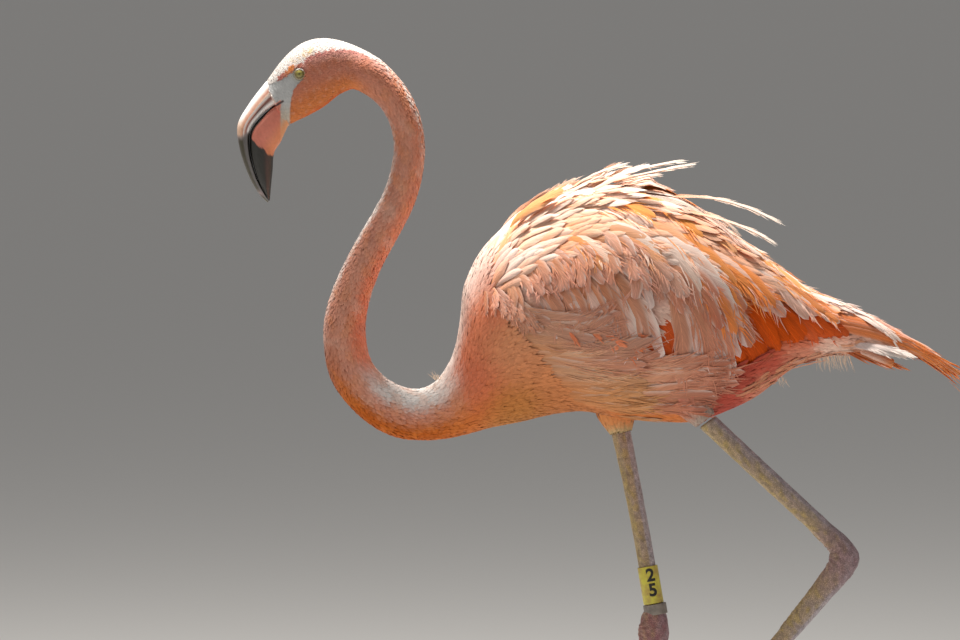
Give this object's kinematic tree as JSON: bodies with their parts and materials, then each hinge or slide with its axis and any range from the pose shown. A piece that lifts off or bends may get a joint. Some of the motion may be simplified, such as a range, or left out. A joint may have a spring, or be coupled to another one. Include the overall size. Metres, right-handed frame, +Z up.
{
  "type": "flamingo",
  "caption": "Life-size still model of an American flamingo wading on one foot, with a long bent neck, hooked bill, folded wings, webbed feet and leg bands.",
  "frame": {"origin": "centre of the bird's box on the floor, under its right foot", "axes": "+Z up; -X the way the bill points; the bird's left side faces -Y"},
  "size_m": [0.7715, 0.198, 0.959],
  "materials": {
    "plumage": "overlapping feathers, salmon pink to orange",
    "bill": "smooth horn, pink at the base and black at the tip",
    "eye": "polished, pale yellow iris with a small dark pupil",
    "leg_skin": "fine scales, greyish pink",
    "claw": "dark horn",
    "band_yellow": "moulded ring with dark figures",
    "band_grey": "plain ring"
  },
  "bodies": {
    "root": {"head": "plumage", "neck_1": "plumage", "neck_2": "plumage", "neck_3": "plumage", "neck_4": "plumage", "neck_5": "plumage", "neck_6": "plumage", "trunk": "plumage", "mantle": "plumage", "wing_left": "plumage", "wing_right": "plumage", "tail": "plumage", "plume_1": "plumage", "plume_2": "plumage", "plume_3": "plumage", "plume_4": "plumage", "plume_5": "plumage", "plume_6": "plumage", "plume_7": "plumage", "thigh_left": "plumage", "thigh_right": "plumage", "bill_upper": "bill", "bill_lower": "bill", "eye_left": "eye", "eye_right": "eye", "shank_left": "leg_skin", "shank_right": "leg_skin", "hock_left": "leg_skin", "hock_right": "leg_skin", "tarsus_left": "leg_skin", "tarsus_right": "leg_skin", "foot_left": "leg_skin", "foot_right": "leg_skin", "claw_inner_left": "claw", "claw_inner_right": "claw", "claw_middle_left": "claw", "claw_middle_right": "claw", "claw_outer_left": "claw", "claw_outer_right": "claw", "claw_hind_left": "claw", "claw_hind_right": "claw", "band_number": "band_yellow", "band_plain": "band_grey"}
  },
  "joints": []
}
